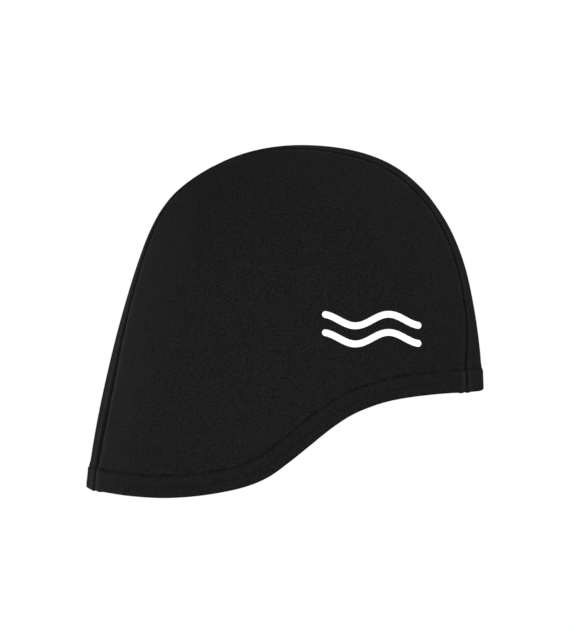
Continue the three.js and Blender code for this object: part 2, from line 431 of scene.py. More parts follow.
# %% The crown between the hems
ACROSS = np.linspace(-1, 1, 41)
HEM_BLEND = 0.035


def profile_line():
    """The crown's outline in the middle plane, from the forehead's rim to the nape's."""
    front, nape = rim_points(np.array([0.0, np.pi]))
    ends = np.sqrt((CROWN_TOP - np.array([front[2], nape[2]])) / CAP_HEIGHT)
    root = np.linspace(ends[0], -ends[1], FINE)
    share = np.where(root > 0, section["front"](np.abs(root)), section["rear"](np.abs(root)))
    x = (share - TOP_ALONG) * CAP_LENGTH
    return np.stack([x, 0 * x, CROWN_TOP - root**2 * CAP_HEIGHT], -1)


profile = profile_line()
OVER = lengths_along(profile)[-1]


def half_width(over):
    """Half of the centre panel's width at lengths over the crown."""
    return centre_width(over / OVER) * CENTRE_WIDTH / 2


def beside(over, y):
    """The surface at lengths over the crown, and at distances from the middle plane."""
    nudge = 0.0005
    middle = at_lengths(profile, over)
    along = unit(at_lengths(profile, over + nudge) - at_lengths(profile, over - nudge))
    inward = np.stack([-along[:, 2], 0 * over, along[:, 0]], -1)
    sideways = np.stack([0 * y, y, 0 * y], -1)

    def at(depth):
        return middle + inward * depth[:, None] + sideways

    far = np.full(len(y), CAP_BREADTH / 3)
    return at(turning(far, 0 * far, lambda depth: level(at(depth)) < 1))


def front_run(across):
    return across * RUN_FRONT


def nape_run(across):
    return RIM_LENGTH / 2 - across * (RIM_LENGTH / 2 - RUN_NAPE)


ENDS = {"front": HEM_HEIGHT, "nape": OVER - HEM_HEIGHT}
SHIFTS = {
    end: hem_top(run(ACROSS)) - beside(np.full(len(ACROSS), over), ACROSS * half_width(over))
    for (end, over), run in zip(ENDS.items(), (front_run, nape_run))
}


def crown(over, y):
    """The centre panel's places: lengths over the crown, and distances from the middle plane."""
    points = beside(over, y)
    across = y / half_width(over)
    for end, at in ENDS.items():
        t = np.clip(np.abs(over - at) / HEM_BLEND, 0, 1)
        shift = np.stack([np.interp(across, ACROSS, SHIFTS[end][:, k]) for k in range(3)], -1)
        points = points + shift * (1 - t * t * (3 - 2 * t))[:, None]
    return onto_surface(points)


print("over the crown", round(OVER, 4), "m; the hems shift", np.abs(SHIFTS["front"]).max().round(4))

# %% The seams
SEAM_POINTS = 1600
SEAM_POINTS_IN_HEM = 60


def seam_points(side):
    """A seam's line from the forehead's rim over the crown to the nape's rim."""
    up = np.linspace(0, HEM_HEIGHT, SEAM_POINTS_IN_HEM)[:, None]
    front = at_heights(climb(np.array([side * RUN_FRONT])), up)[0][:, 0]
    nape = at_heights(climb(np.array([side * RUN_NAPE])), up)[0][:, 0]
    over = np.linspace(ENDS["front"], ENDS["nape"], SEAM_POINTS)
    return np.concatenate([front[:-1], crown(over, side * half_width(over)), nape[::-1][1:]])


class Line:
    """A line of points that tells how far away places are, and how far along it."""

    def __init__(self, points):
        self.points, self.run = points, lengths_along(points)
        self.tree = KDTree(len(points))
        for i, point in enumerate(points):
            self.tree.insert(point, i)
        self.tree.balance()

    def nearest(self, places):
        index = np.array([self.tree.find(place)[1] for place in places])
        gap, along = np.full(len(places), np.inf), np.zeros(len(places))
        for low in (np.maximum(index - 1, 0), np.minimum(index, len(self.points) - 2)):
            start, step = self.points[low], self.points[low + 1] - self.points[low]
            t = np.clip(((places - start) * step).sum(-1) / (step**2).sum(-1), 0, 1)
            distance = np.linalg.norm(places - start - step * t[:, None], axis=1)
            closer = distance < gap
            gap = np.where(closer, distance, gap)
            along = np.where(closer, self.run[low] + t * (self.run[low + 1] - self.run[low]), along)
        return gap, along


seams = {side: Line(seam_points(side)) for side in (-1, 1)}
SEAM_LENGTH = seams[1].run[-1]


def to_seams(places):
    """How far places are from the nearer seam, and how far along it, as a share of its length."""
    flat = places.reshape(-1, 3)
    right, left = (seams[side].nearest(flat) for side in (-1, 1))
    nearer = right[0] < left[0]
    gap = np.where(nearer, right[0], left[0])
    along = np.where(nearer, right[1], left[1])
    return gap.reshape(places.shape[:-1]), along.reshape(places.shape[:-1]) / SEAM_LENGTH


print("each seam", round(float(SEAM_LENGTH), 4), "m long")

# %% [markdown]
# ## Relief of the cloth
# Stretch knit lies smooth, and shows its making at the edges: it rolls into each seam, stands proud
# where the hem is double, and dips at every stitch. Sculpting would do for one view, but a stitch row
# has hundreds of dips, so each is a formula of the distance to the seam, the height above the rim and
# the length along it.

# %% Wandering lines
WANDER = np.random.default_rng(7).uniform(-1, 1, (8, 512))


def wander(share, knots, row):
    """A smooth line that wanders between -1 and 1, with no pattern, and meets itself after a round."""
    place = share * knots
    i = np.floor(place).astype(int)
    t = place - i
    blend = t * t * (3 - 2 * t)
    return WANDER[row, i % knots] * (1 - blend) + WANDER[row, (i + 1) % knots] * blend


def bell(distance, width):
    return np.exp(-((distance / width) ** 2))


print("wander", wander(np.array([0.0, 0.01, 0.02]), 70, 0).round(2))

# %% Relief of the hem
STITCHES = 248
STITCH = RIM_LENGTH / STITCHES
STITCH_ROWS = (0.0060, 0.0125)
STITCH_DIPS = ((0.0002, 0.0007), (0.0007, 0.0008))  # depth and width of each row's dips
UNEVEN_PULL = 0.45
HEM_PUCKER = 0.00013
HEM_SWELL = 0.0007
HEM = table(
    "up out",
    (0.0, 0.75),
    (0.08, 0.9),
    (0.25, 1.0),
    (0.46, 0.9),
    (0.68, 1.0),
    (0.86, 0.95),
    (0.96, 0.5),
    (1.06, 0.1),
    (1.3, -0.03),
    (1.7, 0.0),
)
hem_out = curve(HEM["up"], HEM["out"])


def row_height(run, row):
    """A stitch row's height above the rim, which wavers a little."""
    return STITCH_ROWS[row] + 0.00018 * wander(run / RIM_LENGTH, 70, row)


def hem_relief(run, up):
    """How far the hem's cloth stands out, at lengths along the rim and heights above it."""
    out = hem_out(up / HEM_HEIGHT) * HEM_SWELL
    between = 0.5 - 0.5 * np.cos(2 * np.pi * run / STITCH)
    for row, (dip, width) in enumerate(STITCH_DIPS):
        above = up - row_height(run, row)
        pull = 1 + UNEVEN_PULL * wander(run / RIM_LENGTH, STITCHES, 2 + row)
        out = out - dip * pull * (0.55 + 0.45 * between) * bell(above, width)
        out = out + 0.35 * dip * (1 - between) * pull * bell(above, 2.2 * width)
    pucker = wander(run / RIM_LENGTH, 210, 4) * bell(up - 0.0135, 0.0028)
    return out + HEM_PUCKER * pucker


print("stitches", round(STITCH, 5), "m long")

# %% Relief of the seams
SEAM_HALF = 0.0025
SEAM_DEPTH = 0.0013
SEAM_RIDGE = 0.0004
SEAM_PUCKER, SEAM_SWELL, SEAM_LUMP = 0.0001, 0.00012, 0.0003
SLACK = 0.00005
RIDGE_GAP, RIDGE_WIDTH = 0.0011, 0.0017
REAR_START, REAR_BLEND = 0.5, 0.15  # shares of the seam's length
# At these reliefs the painted shade in a crease, or the painted highlight on a ridge, is full.
FULL_STITCH, FULL_SEAM = 0.0010, 0.0004  # the relief that counts as a whole crease


def seam_relief(gap, along):
    """How far the cloth stands out beside a seam, at distances from it and shares of its length.
    At the rear the valley is broader and deeper, and the ridge beside it higher."""
    rear = np.clip((along - REAR_START) / REAR_BLEND, 0, 1)
    half = SEAM_HALF * (1 + 0.15 * wander(along, 90, 7) + 0.5 * rear)
    edge = np.clip(1 - gap / half, 0, 1)
    out = SEAM_DEPTH * (1 + 0.2 * rear) * (np.sqrt(1 - edge**2) - 1)
    out = out + SEAM_RIDGE * (0.4 + 0.6 * rear) * bell(gap - half - RIDGE_GAP, RIDGE_WIDTH)
    pucker = wander(along, 140, 5) * bell(gap - 0.002, 0.003)
    swell = wander(along, 44, 6) * bell(gap - 0.003, 0.006)
    return out + SEAM_PUCKER * pucker + SEAM_SWELL * swell


def slack(places):
    """The gentle unevenness of cloth stretched over a form."""
    waves = ((61, 23, 40, 0.3), (-34, 47, 71, 1.7), (95, -12, 28, 4.1), (18, 66, -83, 2.6))
    return SLACK * sum(np.sin(places @ np.array(wave[:3]) + wave[3]) for wave in waves)


def relief(places, run, up):
    """How far the cloth stands out at places: the hem's part, and the seams' part."""
    gap, along = to_seams(places)
    in_hem = np.clip((HEM_HEIGHT + 0.002 - up) / 0.004, 0, 1)
    lump = SEAM_LUMP * bell(gap - 0.003, 0.0022) * in_hem
    return hem_relief(run, up) + slack(places), seam_relief(gap, along) * (1 - 0.45 * in_hem) + lump


def crease(run, up, seam):
    """How far a place lies in a crease, from -1, at its bottom, to about 1 on the ridge beside it. It
    is the mask for the shade painted into the creases and the highlights painted on the ridges.
    """
    stitched = hem_relief(run, up) - hem_out(up / HEM_HEIGHT) * HEM_SWELL
    return np.clip(stitched / FULL_STITCH + seam / FULL_SEAM, -1, 1)


print("seam valley in front", SEAM_DEPTH, "m deep and", 2 * SEAM_HALF, "m wide")

# %% [markdown]
# ## The panels
# Each panel is one sheet of knit. A sheet is a grid of points: columns cross the panel from its seam
# to the rim, and go on round the edge of the hem. The grid is one layer thick, and a Solidify
# modifier gives it the knit's thickness on the inside, so the outer face stays where the formula
# puts it.

# %% Grids and cloth
KNIT = 0.0007
MERGE = 0.00004
CLOSE_STEPS = np.array([0, 0.15, 0.35, 0.6, 0.95, 1.4]) / 1000
CLOSE_END = 0.002


def spread(start, end, count):
    """Places from start to end, closer together beside the two ends."""
    start, end = np.asarray(start), np.asarray(end)
    way = np.sign(end - start)
    inner = np.linspace(start + way * CLOSE_END, end - way * CLOSE_END, count, axis=-1)
    steps = CLOSE_STEPS * way[..., None]
    return np.concatenate([start[..., None] + steps, inner, end[..., None] - steps[..., ::-1]], -1)


def grid_faces(rows, columns, closed=False):
    """Quads between neighbouring rows and columns of a grid."""
    index = np.arange(rows * columns).reshape(rows, columns)
    if closed:
        index = np.concatenate([index, index[:, :1]], axis=1)
    corners = (index[:-1, :-1], index[1:, :-1], index[1:, 1:], index[:-1, 1:])
    return np.stack(corners, -1).reshape(-1, 4)


def mesh_piece(name, points, faces, knit=None, painted_shade_and_highlight=None):
    """A smooth mesh object. knit is where its points lie on the flat cloth, in metres. The last
    argument, how far each point lies in a crease, is kept as the crease attribute, which paints shade
    into the creases and highlights on the ridges."""
    mesh = bpy.data.meshes.new(name)
    mesh.from_pydata(points.reshape(-1, 3).tolist(), [], np.asarray(faces, object).tolist())
    mesh.polygons.foreach_set("use_smooth", np.ones(len(mesh.polygons), bool))
    if knit is not None:
        corner = np.zeros(len(mesh.loops), int)
        mesh.loops.foreach_get("vertex_index", corner)
        mesh.uv_layers.new(name="knit").data.foreach_set("uv", knit.reshape(-1, 2)[corner].ravel())
    if painted_shade_and_highlight is not None:
        mesh.attributes.new("crease", "FLOAT", "POINT").data.foreach_set("value", painted_shade_and_highlight.ravel())
    piece = bpy.data.objects.new(name, mesh)
    scene.collection.objects.link(piece)
    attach(piece, "root")
    return piece


def thicken(piece, thickness):
    """Merges doubled points of a sheet, and gives it its thickness on the inside."""
    piece.modifiers.new("weld", "WELD").merge_threshold = MERGE
    solidify = piece.modifiers.new("thickness", "SOLIDIFY")
    solidify.thickness, solidify.offset = thickness, -1
    return piece


print("knit", KNIT, "m thick")

# %% The turn of the hem
ROLL = 0.00115
HEM_ROWS = 30
TURN_ROWS = 9
# How much shade is painted onto the hem's turned edge.
PAINTED_EDGE_SHADE = 0.8


def hem_path():
    """From the hem's top down and round its edge: height, depth, and the angle turned."""
    flat = np.linspace(HEM_HEIGHT, ROLL, HEM_ROWS)
    turn = np.linspace(0, np.pi, TURN_ROWS)[1:]
    up = np.concatenate([flat, ROLL * (1 - np.sin(turn))])
    depth = np.concatenate([0 * flat, ROLL * (1 - np.cos(turn))])
    return [part[:, None] for part in (up, depth, np.concatenate([0 * flat, turn]))]


def hem_cloth(run):
    """The form's points, the cloth's and how far each lies in a crease, from the hem's top round its
    edge. The crease values also paint shade onto the turned edge.
    """
    up, depth, turn = hem_path()
    form, out, along = at_heights(climb(run), up)
    up, run = np.broadcast_arrays(np.maximum(up, ROLL), run)
    proud, seam = relief(form, run, up)
    edge = np.sin(np.minimum(turn, np.pi / 2))
    rise = proud * (1 - edge) + seam
    facing = np.cos(turn)[..., None] * out - np.sin(turn)[..., None] * along
    # Painted shade and highlights, with extra painted shade on the turned edge.
    painted_shade_and_highlight = np.clip(crease(run, up, seam) - PAINTED_EDGE_SHADE * edge, -1, 1)
    return form, form - out * depth[..., None] + facing * rise[..., None], painted_shade_and_highlight


print("hem rows", len(hem_path()[0]))

# %% Where cloth lies on the flat knit
SAMPLES = 24
LOWEST = CROWN_TOP - 1.03 * CAP_HEIGHT


def path_length(points):
    return np.linalg.norm(np.diff(points, axis=0), axis=-1).sum(0)


def side_knit(points, side):
    """Lengths along the surface from a side panel's points to its broadest line, and down it."""
    x, z = points[..., 0], points[..., 2]
    broadest = section_at(z)[2]
    share = np.linspace(0, 1, SAMPLES).reshape(-1, *[1] * x.ndim)
    level_path = on_side(broadest + (x - broadest) * share, z + 0 * share, side)
    steep_path = on_side(x + 0 * share, z + (LOWEST - z) * share, side)
    return np.stack([path_length(level_path) * np.sign(x - broadest), path_length(steep_path)], -1)


print("flat places measured with", SAMPLES, "samples")

# %% Side panels
SIDE_COLUMNS = 376
PANEL_ROWS = 62
CLOSENESS = 2.5
SEAM_GAP = 0.00001


def eased_rows():
    """Shares of the way down a panel, close together at its seam and its hem."""
    even = np.linspace(-1, 1, PANEL_ROWS + 1)[:-1]
    return (0.5 + 0.5 * np.tanh(CLOSENESS * even) / np.tanh(CLOSENESS))[:, None]


def side_cloth(name, side):
    run = side * spread(RUN_FRONT + SEAM_GAP, RUN_NAPE - SEAM_GAP, SIDE_COLUMNS)
    over = spread(ENDS["front"], ENDS["nape"], SIDE_COLUMNS)
    form, hem, hem_painted_shade_and_highlight = hem_cloth(run)
    top, seam = form[0], crown(over, side * (half_width(over) + SEAM_GAP))
    share = eased_rows()
    x = seam[:, 0] * (1 - share) + top[:, 0] * share
    z = seam[:, 2] * (1 - share) + top[:, 2] * share
    panel = on_side(x, z, side)
    above, along = Line(top).nearest(panel.reshape(-1, 3))
    near_run = np.interp(along, lengths_along(top), run).reshape(x.shape)
    up = HEM_HEIGHT + above.reshape(x.shape)
    proud, seam_part = relief(panel, near_run, up)
    cloth = panel + outward(panel) * (proud + seam_part)[..., None]
    points = np.concatenate([cloth, hem])
    knit = side_knit(np.concatenate([panel, form]), side)
    # How far each point lies in a crease: the mask for painted shade and painted highlights.
    painted_shade_and_highlight = np.concatenate([crease(near_run, up, seam_part), hem_painted_shade_and_highlight])
    faces = grid_faces(*points.shape[:2])[:, :: side]
    return thicken(mesh_piece(name, points, faces, knit, painted_shade_and_highlight), KNIT)


side_right = side_cloth("side_panel_right_cloth", -1)
side_left = side_cloth("side_panel_left_cloth", 1)
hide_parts("side_panel_right")
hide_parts("side_panel_left")
print("side panels", [len(piece.data.polygons) for piece in (side_right, side_left)], "faces")

# %% Centre panel
CENTRE_ROWS = 330
CENTRE_COLUMNS = 82


def centre_cloth(name):
    over = np.linspace(ENDS["front"], ENDS["nape"], CENTRE_ROWS + 2)[1:-1]
    half = half_width(over)
    y = spread(SEAM_GAP - half, half - SEAM_GAP, CENTRE_COLUMNS)
    lengths = np.broadcast_to(over[:, None], y.shape)
    form = crown(lengths.ravel(), y.ravel()).reshape(*y.shape, 3)
    to_end = np.minimum(lengths, OVER - lengths)
    across = y / half[:, None]
    run = np.where(lengths > OVER / 2, nape_run(across), front_run(across))
    proud, seam_part = relief(form, run, to_end)
    crown_part = form + outward(form) * (proud + seam_part)[..., None]
    # How far each point lies in a crease: the mask for painted shade and painted highlights.
    painted_shade_and_highlight = crease(run, to_end, seam_part)
    front = hem_cloth(spread(SEAM_GAP - RUN_FRONT, RUN_FRONT - SEAM_GAP, CENTRE_COLUMNS))
    nape = hem_cloth(spread(nape_run(-1) - SEAM_GAP, nape_run(1) + SEAM_GAP, CENTRE_COLUMNS))
    points = np.concatenate([front[1][::-1], crown_part, nape[1]])
    form = np.concatenate([front[0][::-1], form, nape[0]])
    down = lengths_along(form[:, CENTRE_COLUMNS // 2])
    knit = np.stack([form[..., 1], np.broadcast_to(down[:, None], form.shape[:2])], -1)
    painted_shade_and_highlight = np.concatenate([front[2][::-1], painted_shade_and_highlight, nape[2]])
    faces = grid_faces(*points.shape[:2])[:, ::-1]
    return thicken(mesh_piece(name, points, faces, knit, painted_shade_and_highlight), KNIT)


centre = centre_cloth("centre_panel_cloth")
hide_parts("centre_panel")
print("centre panel", len(centre.data.polygons), "faces")

# %% [markdown]
# ## The hem's turned-up layer
# Behind the panels the hem's cloth goes on upwards as a second layer. It is seen from below and from
# inside, so it is a sheet of its own, all round the rim, with the stitch rows and the seams pressed
# into the side that faces the head.

# %% Turned-up layer
BAND_COLUMNS = 992
BAND_ROWS = 22
BAND_TOP = 0.0138
BAND_DEPTH = 2 * ROLL
BAND_DIP, BAND_DIP_WIDTH = 0.0002, 0.0008
BAND_EDGE, BAND_EDGE_DROP = 0.0012, 0.00035
# At this relief the shade painted on the turned-up layer, or its painted highlight, is full.
FULL_BAND = 0.0006  # the relief that counts as a whole crease here


def band_rise(points, run, up):
    """How far the turned-up layer stands in from its depth, towards the head."""
    gap, along = to_seams(points)
    rise = 0.6 * seam_relief(gap, along)
    for row in range(2):
        rise = rise - BAND_DIP * bell(up - row_height(run, row), BAND_DIP_WIDTH)
    return rise - BAND_EDGE_DROP * np.clip((up - BAND_TOP + BAND_EDGE) / BAND_EDGE, 0, 1) ** 2


def band_cloth(name):
    run = np.arange(BAND_COLUMNS) * RIM_LENGTH / BAND_COLUMNS
    up = np.linspace(ROLL, BAND_TOP, BAND_ROWS)[:, None]
    form, out, _ = at_heights(climb(run), up)
    rise = band_rise(form, run, up)
    points = form - out * (BAND_DEPTH + rise)[..., None]
    knit = np.stack(np.broadcast_arrays(run, up), -1)
    faces = grid_faces(*points.shape[:2], closed=True)
    # The rise also sets the shade and highlights painted into this layer's colour.
    return thicken(mesh_piece(name, points, faces, knit, rise / FULL_BAND), KNIT)


band = band_cloth("hem_band_cloth")
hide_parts("hem_band")
print("turned-up layer", len(band.data.polygons), "faces")

# %% [markdown]
# ## Stitches of the hem
# Two rows of stitches go round the hem. Outside, each stitch is a short thread that lies in its dip
# and goes in at both ends. Inside, one thread runs to and fro between the rows and covers the turned
# edge. A thread is a curve with a round bevel, because a curve is the simplest thing that follows a
# path.

# %% Thread curves
THREAD_RADIUS = 0.00015


def thread_piece(name, paths, cyclic=False):
    """Threads along paths of points, as one curve object. A bevel of 1 takes each point's radius."""
    data = bpy.data.curves.new(name, "CURVE")
    data.dimensions = "3D"
    data.bevel_depth, data.bevel_resolution = 1.0, 1
    data.use_fill_caps = True
    for path in paths:
        spline = data.splines.new("POLY")
        spline.points.add(len(path) - 1)
        spline.points.foreach_set("co", np.column_stack([path, np.ones(len(path))]).ravel())
        spline.points.foreach_set("radius", np.full(len(path), THREAD_RADIUS))
        spline.use_cyclic_u = cyclic
    piece = bpy.data.objects.new(name, data)
    scene.collection.objects.link(piece)
    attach(piece, "root")
    return piece


# %% Outer stitches
STITCH_SHAPE = table("along lift", (-0.47, -0.22), (-0.3, 0.04), (0, 0.1), (0.3, 0.04), (0.47, -0.22))
MILLIMETRE = 0.001


def outer_stitches(name):
    run = ((np.arange(STITCHES)[:, None] + STITCH_SHAPE["along"]) * STITCH).ravel()
    lift = np.tile(STITCH_SHAPE["lift"] * MILLIMETRE, STITCHES)
    climbed = climb(run)
    paths = []
    for row in range(2):
        up = row_height(run, row)
        form, out, _ = (part[0] for part in at_heights(climbed, up[None]))
        proud, valley = relief(form, run, up)
        points = form + out * (proud + valley + lift)[:, None]
        paths.extend(points.reshape(STITCHES, -1, 3))
    return thread_piece(name, paths)


hem_stitches = outer_stitches("hem_stitches")
print("outer stitches", len(hem_stitches.data.splines))

# %% Inner cover threads
COVER_REACH = 0.0004  # how far over the upper row the threads turn


def cover_threads(name):
    """Two threads that cross between the rows on the turned-up layer, half a stitch apart."""
    count = 2 * STITCHES
    run = np.arange(count) * STITCH / 2
    climbed = climb(run)
    paths = []
    for first in range(2):
        odd = (np.arange(count) + first) % 2 == 1
        up = np.where(odd, row_height(run, 1) + COVER_REACH, row_height(run, 0))
        form, out, _ = (part[0] for part in at_heights(climbed, up[None]))
        depth = BAND_DEPTH + band_rise(form, run, up) + THREAD_RADIUS / 2
        paths.append(form - out * depth[:, None])
    return thread_piece(name, paths, cyclic=True)


hem_cover = cover_threads("hem_cover_threads")
print("cover threads", len(hem_cover.data.splines))

# %% [markdown]
# ## Seam allowances
# Inside, the joined edges of two panels make a narrow double strip, pressed to the centre panel and
# bound with looping thread. The strip is one section drawn along the seam, and the loops are one
# thread laid over it.

# %% Seam allowances
SIDES = (("right", -1), ("left", 1))
STRIP_ROWS = 300
STRIP_END = 0.001
STRIP = table(
    "in_ depth",
    (-0.9, 2.35),
    (0.6, 2.35),
    (1.5, 1.6),
    (2.6, 1.05),
    (4.8, 0.82),
    (5.35, 1.0),
    (5.4, 1.45),
    (5.0, 1.9),
    (3.2, 2.2),
    (2.2, 2.55),
    (1.2, 3.1),
    (0.3, 3.3),
    (-0.9, 3.1),
)


def under_crown(over, side, inwards, depth):
    """Places under the centre panel: lengths over the crown, in from a seam, and deep."""
    form = crown(over, side * (half_width(over) - inwards))
    return form - outward(form) * depth[:, None]


def seam_strip(name, side):
    over = np.linspace(ENDS["front"] + STRIP_END, ENDS["nape"] - STRIP_END, STRIP_ROWS)
    sections = len(STRIP["depth"])
    thicker = 1 + 0.1 * wander(over / OVER, 120, 6)
    lengths = np.repeat(over, sections)
    inwards = np.tile(STRIP["in_"] * MILLIMETRE, STRIP_ROWS) * np.repeat(thicker, sections)
    depth = np.tile(STRIP["depth"] * MILLIMETRE, STRIP_ROWS)
    points = under_crown(lengths, side, inwards, depth).reshape(STRIP_ROWS, sections, 3)
    faces = grid_faces(STRIP_ROWS, sections, closed=True).tolist()
    last = (STRIP_ROWS - 1) * sections
    faces += [list(range(sections))[::-1], [last + i for i in range(sections)]]
    if side > 0:
        faces = [face[::-1] for face in faces]
    return mesh_piece(name, points, faces)


strips = [seam_strip(f"seam_allowance_{name}", side) for name, side in SIDES]
print("seam strips", [len(piece.data.polygons) for piece in strips], "faces")

# %% Binding loops
LOOP = 0.0024
LOOP_END = 0.002
LOOP_SHAPE = table(
    "along in_ depth",
    (0, 1.6, 3.0),
    (0.4, 5.1, 2.1),
    (0.5, 5.55, 1.35),
    (0.6, 5.1, 2.1),
)


def binding(name, side):
    count = int((ENDS["nape"] - ENDS["front"] - 2 * LOOP_END) / LOOP)
    start = np.arange(count)[:, None] * LOOP + ENDS["front"] + LOOP_END
    over = (start + LOOP_SHAPE["along"] * LOOP).ravel()
    inwards, depth = (np.tile(LOOP_SHAPE[key] * MILLIMETRE, count) for key in ("in_", "depth"))
    return thread_piece(name, [under_crown(over, side, inwards, depth)])


bindings = [binding(f"seam_binding_{name}", side) for name, side in SIDES]
print("binding loops", [len(piece.data.splines[0].points) for piece in bindings], "points")

# %% [markdown]
# ## The print
# A flat print sits low on the right side, towards the front. Here it is a plain pair of waves. It
# could be a colour in the cloth's material, but real print has a thickness and an edge, so each wave
# is a thin ribbon laid on the panel.

# %% Print
PRINT_X, PRINT_Z = 0.0381, -0.1016
PRINT_WIDTH = 0.054
WAVE_HEIGHT = 0.0031
WAVE_GAP = 0.0098
STROKE = 0.0036
PRINT_THICKNESS = 0.00009
WAVE_STEPS, STROKE_STEPS = 150, 8


def wave_ribbon(name, z):
    """A wave of even stroke with round ends, on the right panel's cloth."""
    x = np.linspace(-PRINT_WIDTH / 2, PRINT_WIDTH / 2, WAVE_STEPS)
    turns = 2 * np.pi * 1.5 / PRINT_WIDTH
    steep = WAVE_HEIGHT * turns * np.cos(turns * x)
    square = np.stack([-steep, np.ones_like(x)], -1) / np.sqrt(1 + steep**2)[:, None]
    line = np.stack([x, WAVE_HEIGHT * np.sin(turns * x)], -1)
    run = lengths_along(line)
    to_end = np.clip(np.minimum(run, run[-1] - run) / (STROKE / 2), 0, 1)
    half = STROKE / 2 * np.sqrt(1 - (1 - to_end) ** 2) + 1e-5
    share = np.linspace(-1, 1, STROKE_STEPS + 1)
    flat = line[:, None] + square[:, None] * (half[:, None] * share)[..., None]
    form = on_side(flat[..., 0] + PRINT_X, flat[..., 1] + z, -1)
    lift = slack(form) + PRINT_THICKNESS * (1 - share**6)
    points = form + outward(form) * lift[..., None]
    faces = grid_faces(*points.shape[:2])[:, ::-1]
    knit = np.stack([form[..., 0], form[..., 2]], -1)
    piece = mesh_piece(name, points, faces, knit)
    piece.modifiers.new("thickness", "SOLIDIFY").thickness = 2 * PRINT_THICKNESS
    return piece


prints = [
    wave_ribbon(f"print_wave_{name}", PRINT_Z + offset * WAVE_GAP)
    for name, offset in (("upper", 0.5), ("lower", -0.5))
]
print("print", [len(piece.data.polygons) for piece in prints], "faces")

# %% [markdown]
# ## Materials
# The knit is matte black, but never one flat black: its loops catch light, the dye varies a little,
# and at a grazing angle the fibres glow. Shade is painted into its colour in the creases, and
# highlights on the ridges beside them. Loops, unevenness and the painted crease shade are node groups,
# which each material uses with its own numbers. The glow is the shader's sheen.

# %% A node group's frame
def new_group(name, inputs, outputs, output_kind="NodeSocketFloat"):
    """A shader node group: its tree, the sockets its inputs come from and those it puts out."""
    group = bpy.data.node_groups.new(name, "ShaderNodeTree")
    for socket, kind, value in inputs:
        made = group.interface.new_socket(socket, in_out="INPUT", socket_type=kind)
        if value is not None:
            made.default_value = value
    for socket in outputs:
        group.interface.new_socket(socket, in_out="OUTPUT", socket_type=output_kind)
    return group, group.nodes.new("NodeGroupInput").outputs, group.nodes.new("NodeGroupOutput").inputs


def math(tree, operation, *values):
    return add_node(tree, "ShaderNodeMath", dict(enumerate(values)), operation=operation).outputs[0]


# %% Knit loops
GAUGE = 0.0006


def knit_group():
    """Rows of V-shaped loops. Place is in metres on the flat cloth, Gauge a loop's width."""
    inputs = (("Place", "NodeSocketVector", None), ("Gauge", "NodeSocketFloat", GAUGE))
    group, given, result = new_group("knit_loops", inputs, ["Height"])
    flat = add_node(group, "ShaderNodeSeparateXYZ", {0: given["Place"]}).outputs
    across = math(group, "DIVIDE", flat["X"], given["Gauge"])
    down = math(group, "DIVIDE", flat["Y"], given["Gauge"])
    leg = math(group, "PINGPONG", across, 0.5)
    phase = math(group, "ADD", math(group, "MULTIPLY", down, 1.3), math(group, "MULTIPLY", leg, 1.4))
    yarn = math(group, "SINE", math(group, "MULTIPLY", phase, 2 * np.pi))
    ridge = math(group, "SINE", math(group, "MULTIPLY", leg, 2 * np.pi))
    group.links.new(math(group, "MULTIPLY_ADD", yarn, 0.35, ridge), result["Height"])
    return group


# %% Uneven dye and fuzz
def mottle_group():
    """Unevenness from 0 to 1: Speckle is fine and Patch is broad. Both sizes are in metres."""
    inputs = (
        ("Place", "NodeSocketVector", None),
        ("Speckle Size", "NodeSocketFloat", 0.001),
        ("Patch Size", "NodeSocketFloat", 0.05),
    )
    group, given, result = new_group("mottle", inputs, ["Speckle", "Patch"])
    for output, detail in (("Speckle", 3.0), ("Patch", 2.0)):
        scale = math(group, "DIVIDE", 1.0, given[output + " Size"])
        noise = add_node(
            group, "ShaderNodeTexNoise", {"Vector": given["Place"], "Scale": scale, "Detail": detail}
        )
        spread_out = add_node(
            group,
            "ShaderNodeMapRange",
            {"Value": noise.outputs["Fac"], "From Min": 0.3, "From Max": 0.7},
        )
        group.links.new(spread_out.outputs[0], result[output])
    return group


# %% Painted shade in creases and painted highlights on ridges
def painted_shade_and_highlight_group():
    """Paints shade into a colour in the creases, and paints highlights on the ridges beside them."""
    inputs = (
        ("Colour", "NodeSocketColor", None),
        ("Painted Shade", "NodeSocketFloat", 0.55),
        ("Painted Highlight", "NodeSocketFloat", 1.5),
    )
    group, given, result = new_group("painted_shade_and_highlight", inputs, ["Colour"], "NodeSocketColor")
    # The crease attribute masks the painted shade and the painted highlights.
    depth = add_node(group, "ShaderNodeAttribute", attribute_name="crease").outputs["Fac"]
    low = add_node(
        group,
        "ShaderNodeMapRange",
        {"Value": depth, "From Min": -1, "From Max": 0, "To Min": given["Painted Shade"]},
    )
    high = add_node(
        group, "ShaderNodeMapRange", {"Value": depth, "To Min": 1.0, "To Max": given["Painted Highlight"]}
    )
    strength = math(group, "MULTIPLY", low.outputs[0], high.outputs[0])
    scaled = add_node(
        group, "ShaderNodeVectorMath", {0: given["Colour"], "Scale": strength}, operation="SCALE"
    )
    group.links.new(scaled.outputs[0], result["Colour"])
    return group


def use(tree, group, **inputs):
    """What a group puts out, placed in a material's tree."""
    return add_node(tree, "ShaderNodeGroup", inputs, node_tree=group).outputs


knit_loops, mottle, painted_shade_and_highlight = knit_group(), mottle_group(), painted_shade_and_highlight_group()
print("node groups", knit_loops.name, mottle.name, painted_shade_and_highlight.name)

# %% Cloth
CLOTH_TONES = ((0.0036, 0.0036, 0.0036), (0.0162, 0.0167, 0.0164), (0.0180, 0.0166, 0.0171))


def blend_colours(tree, share, first, second):
    mix = add_node(tree, "ShaderNodeMix", {0: share, 6: first, 7: second}, data_type="RGBA")
    return mix.outputs[2]


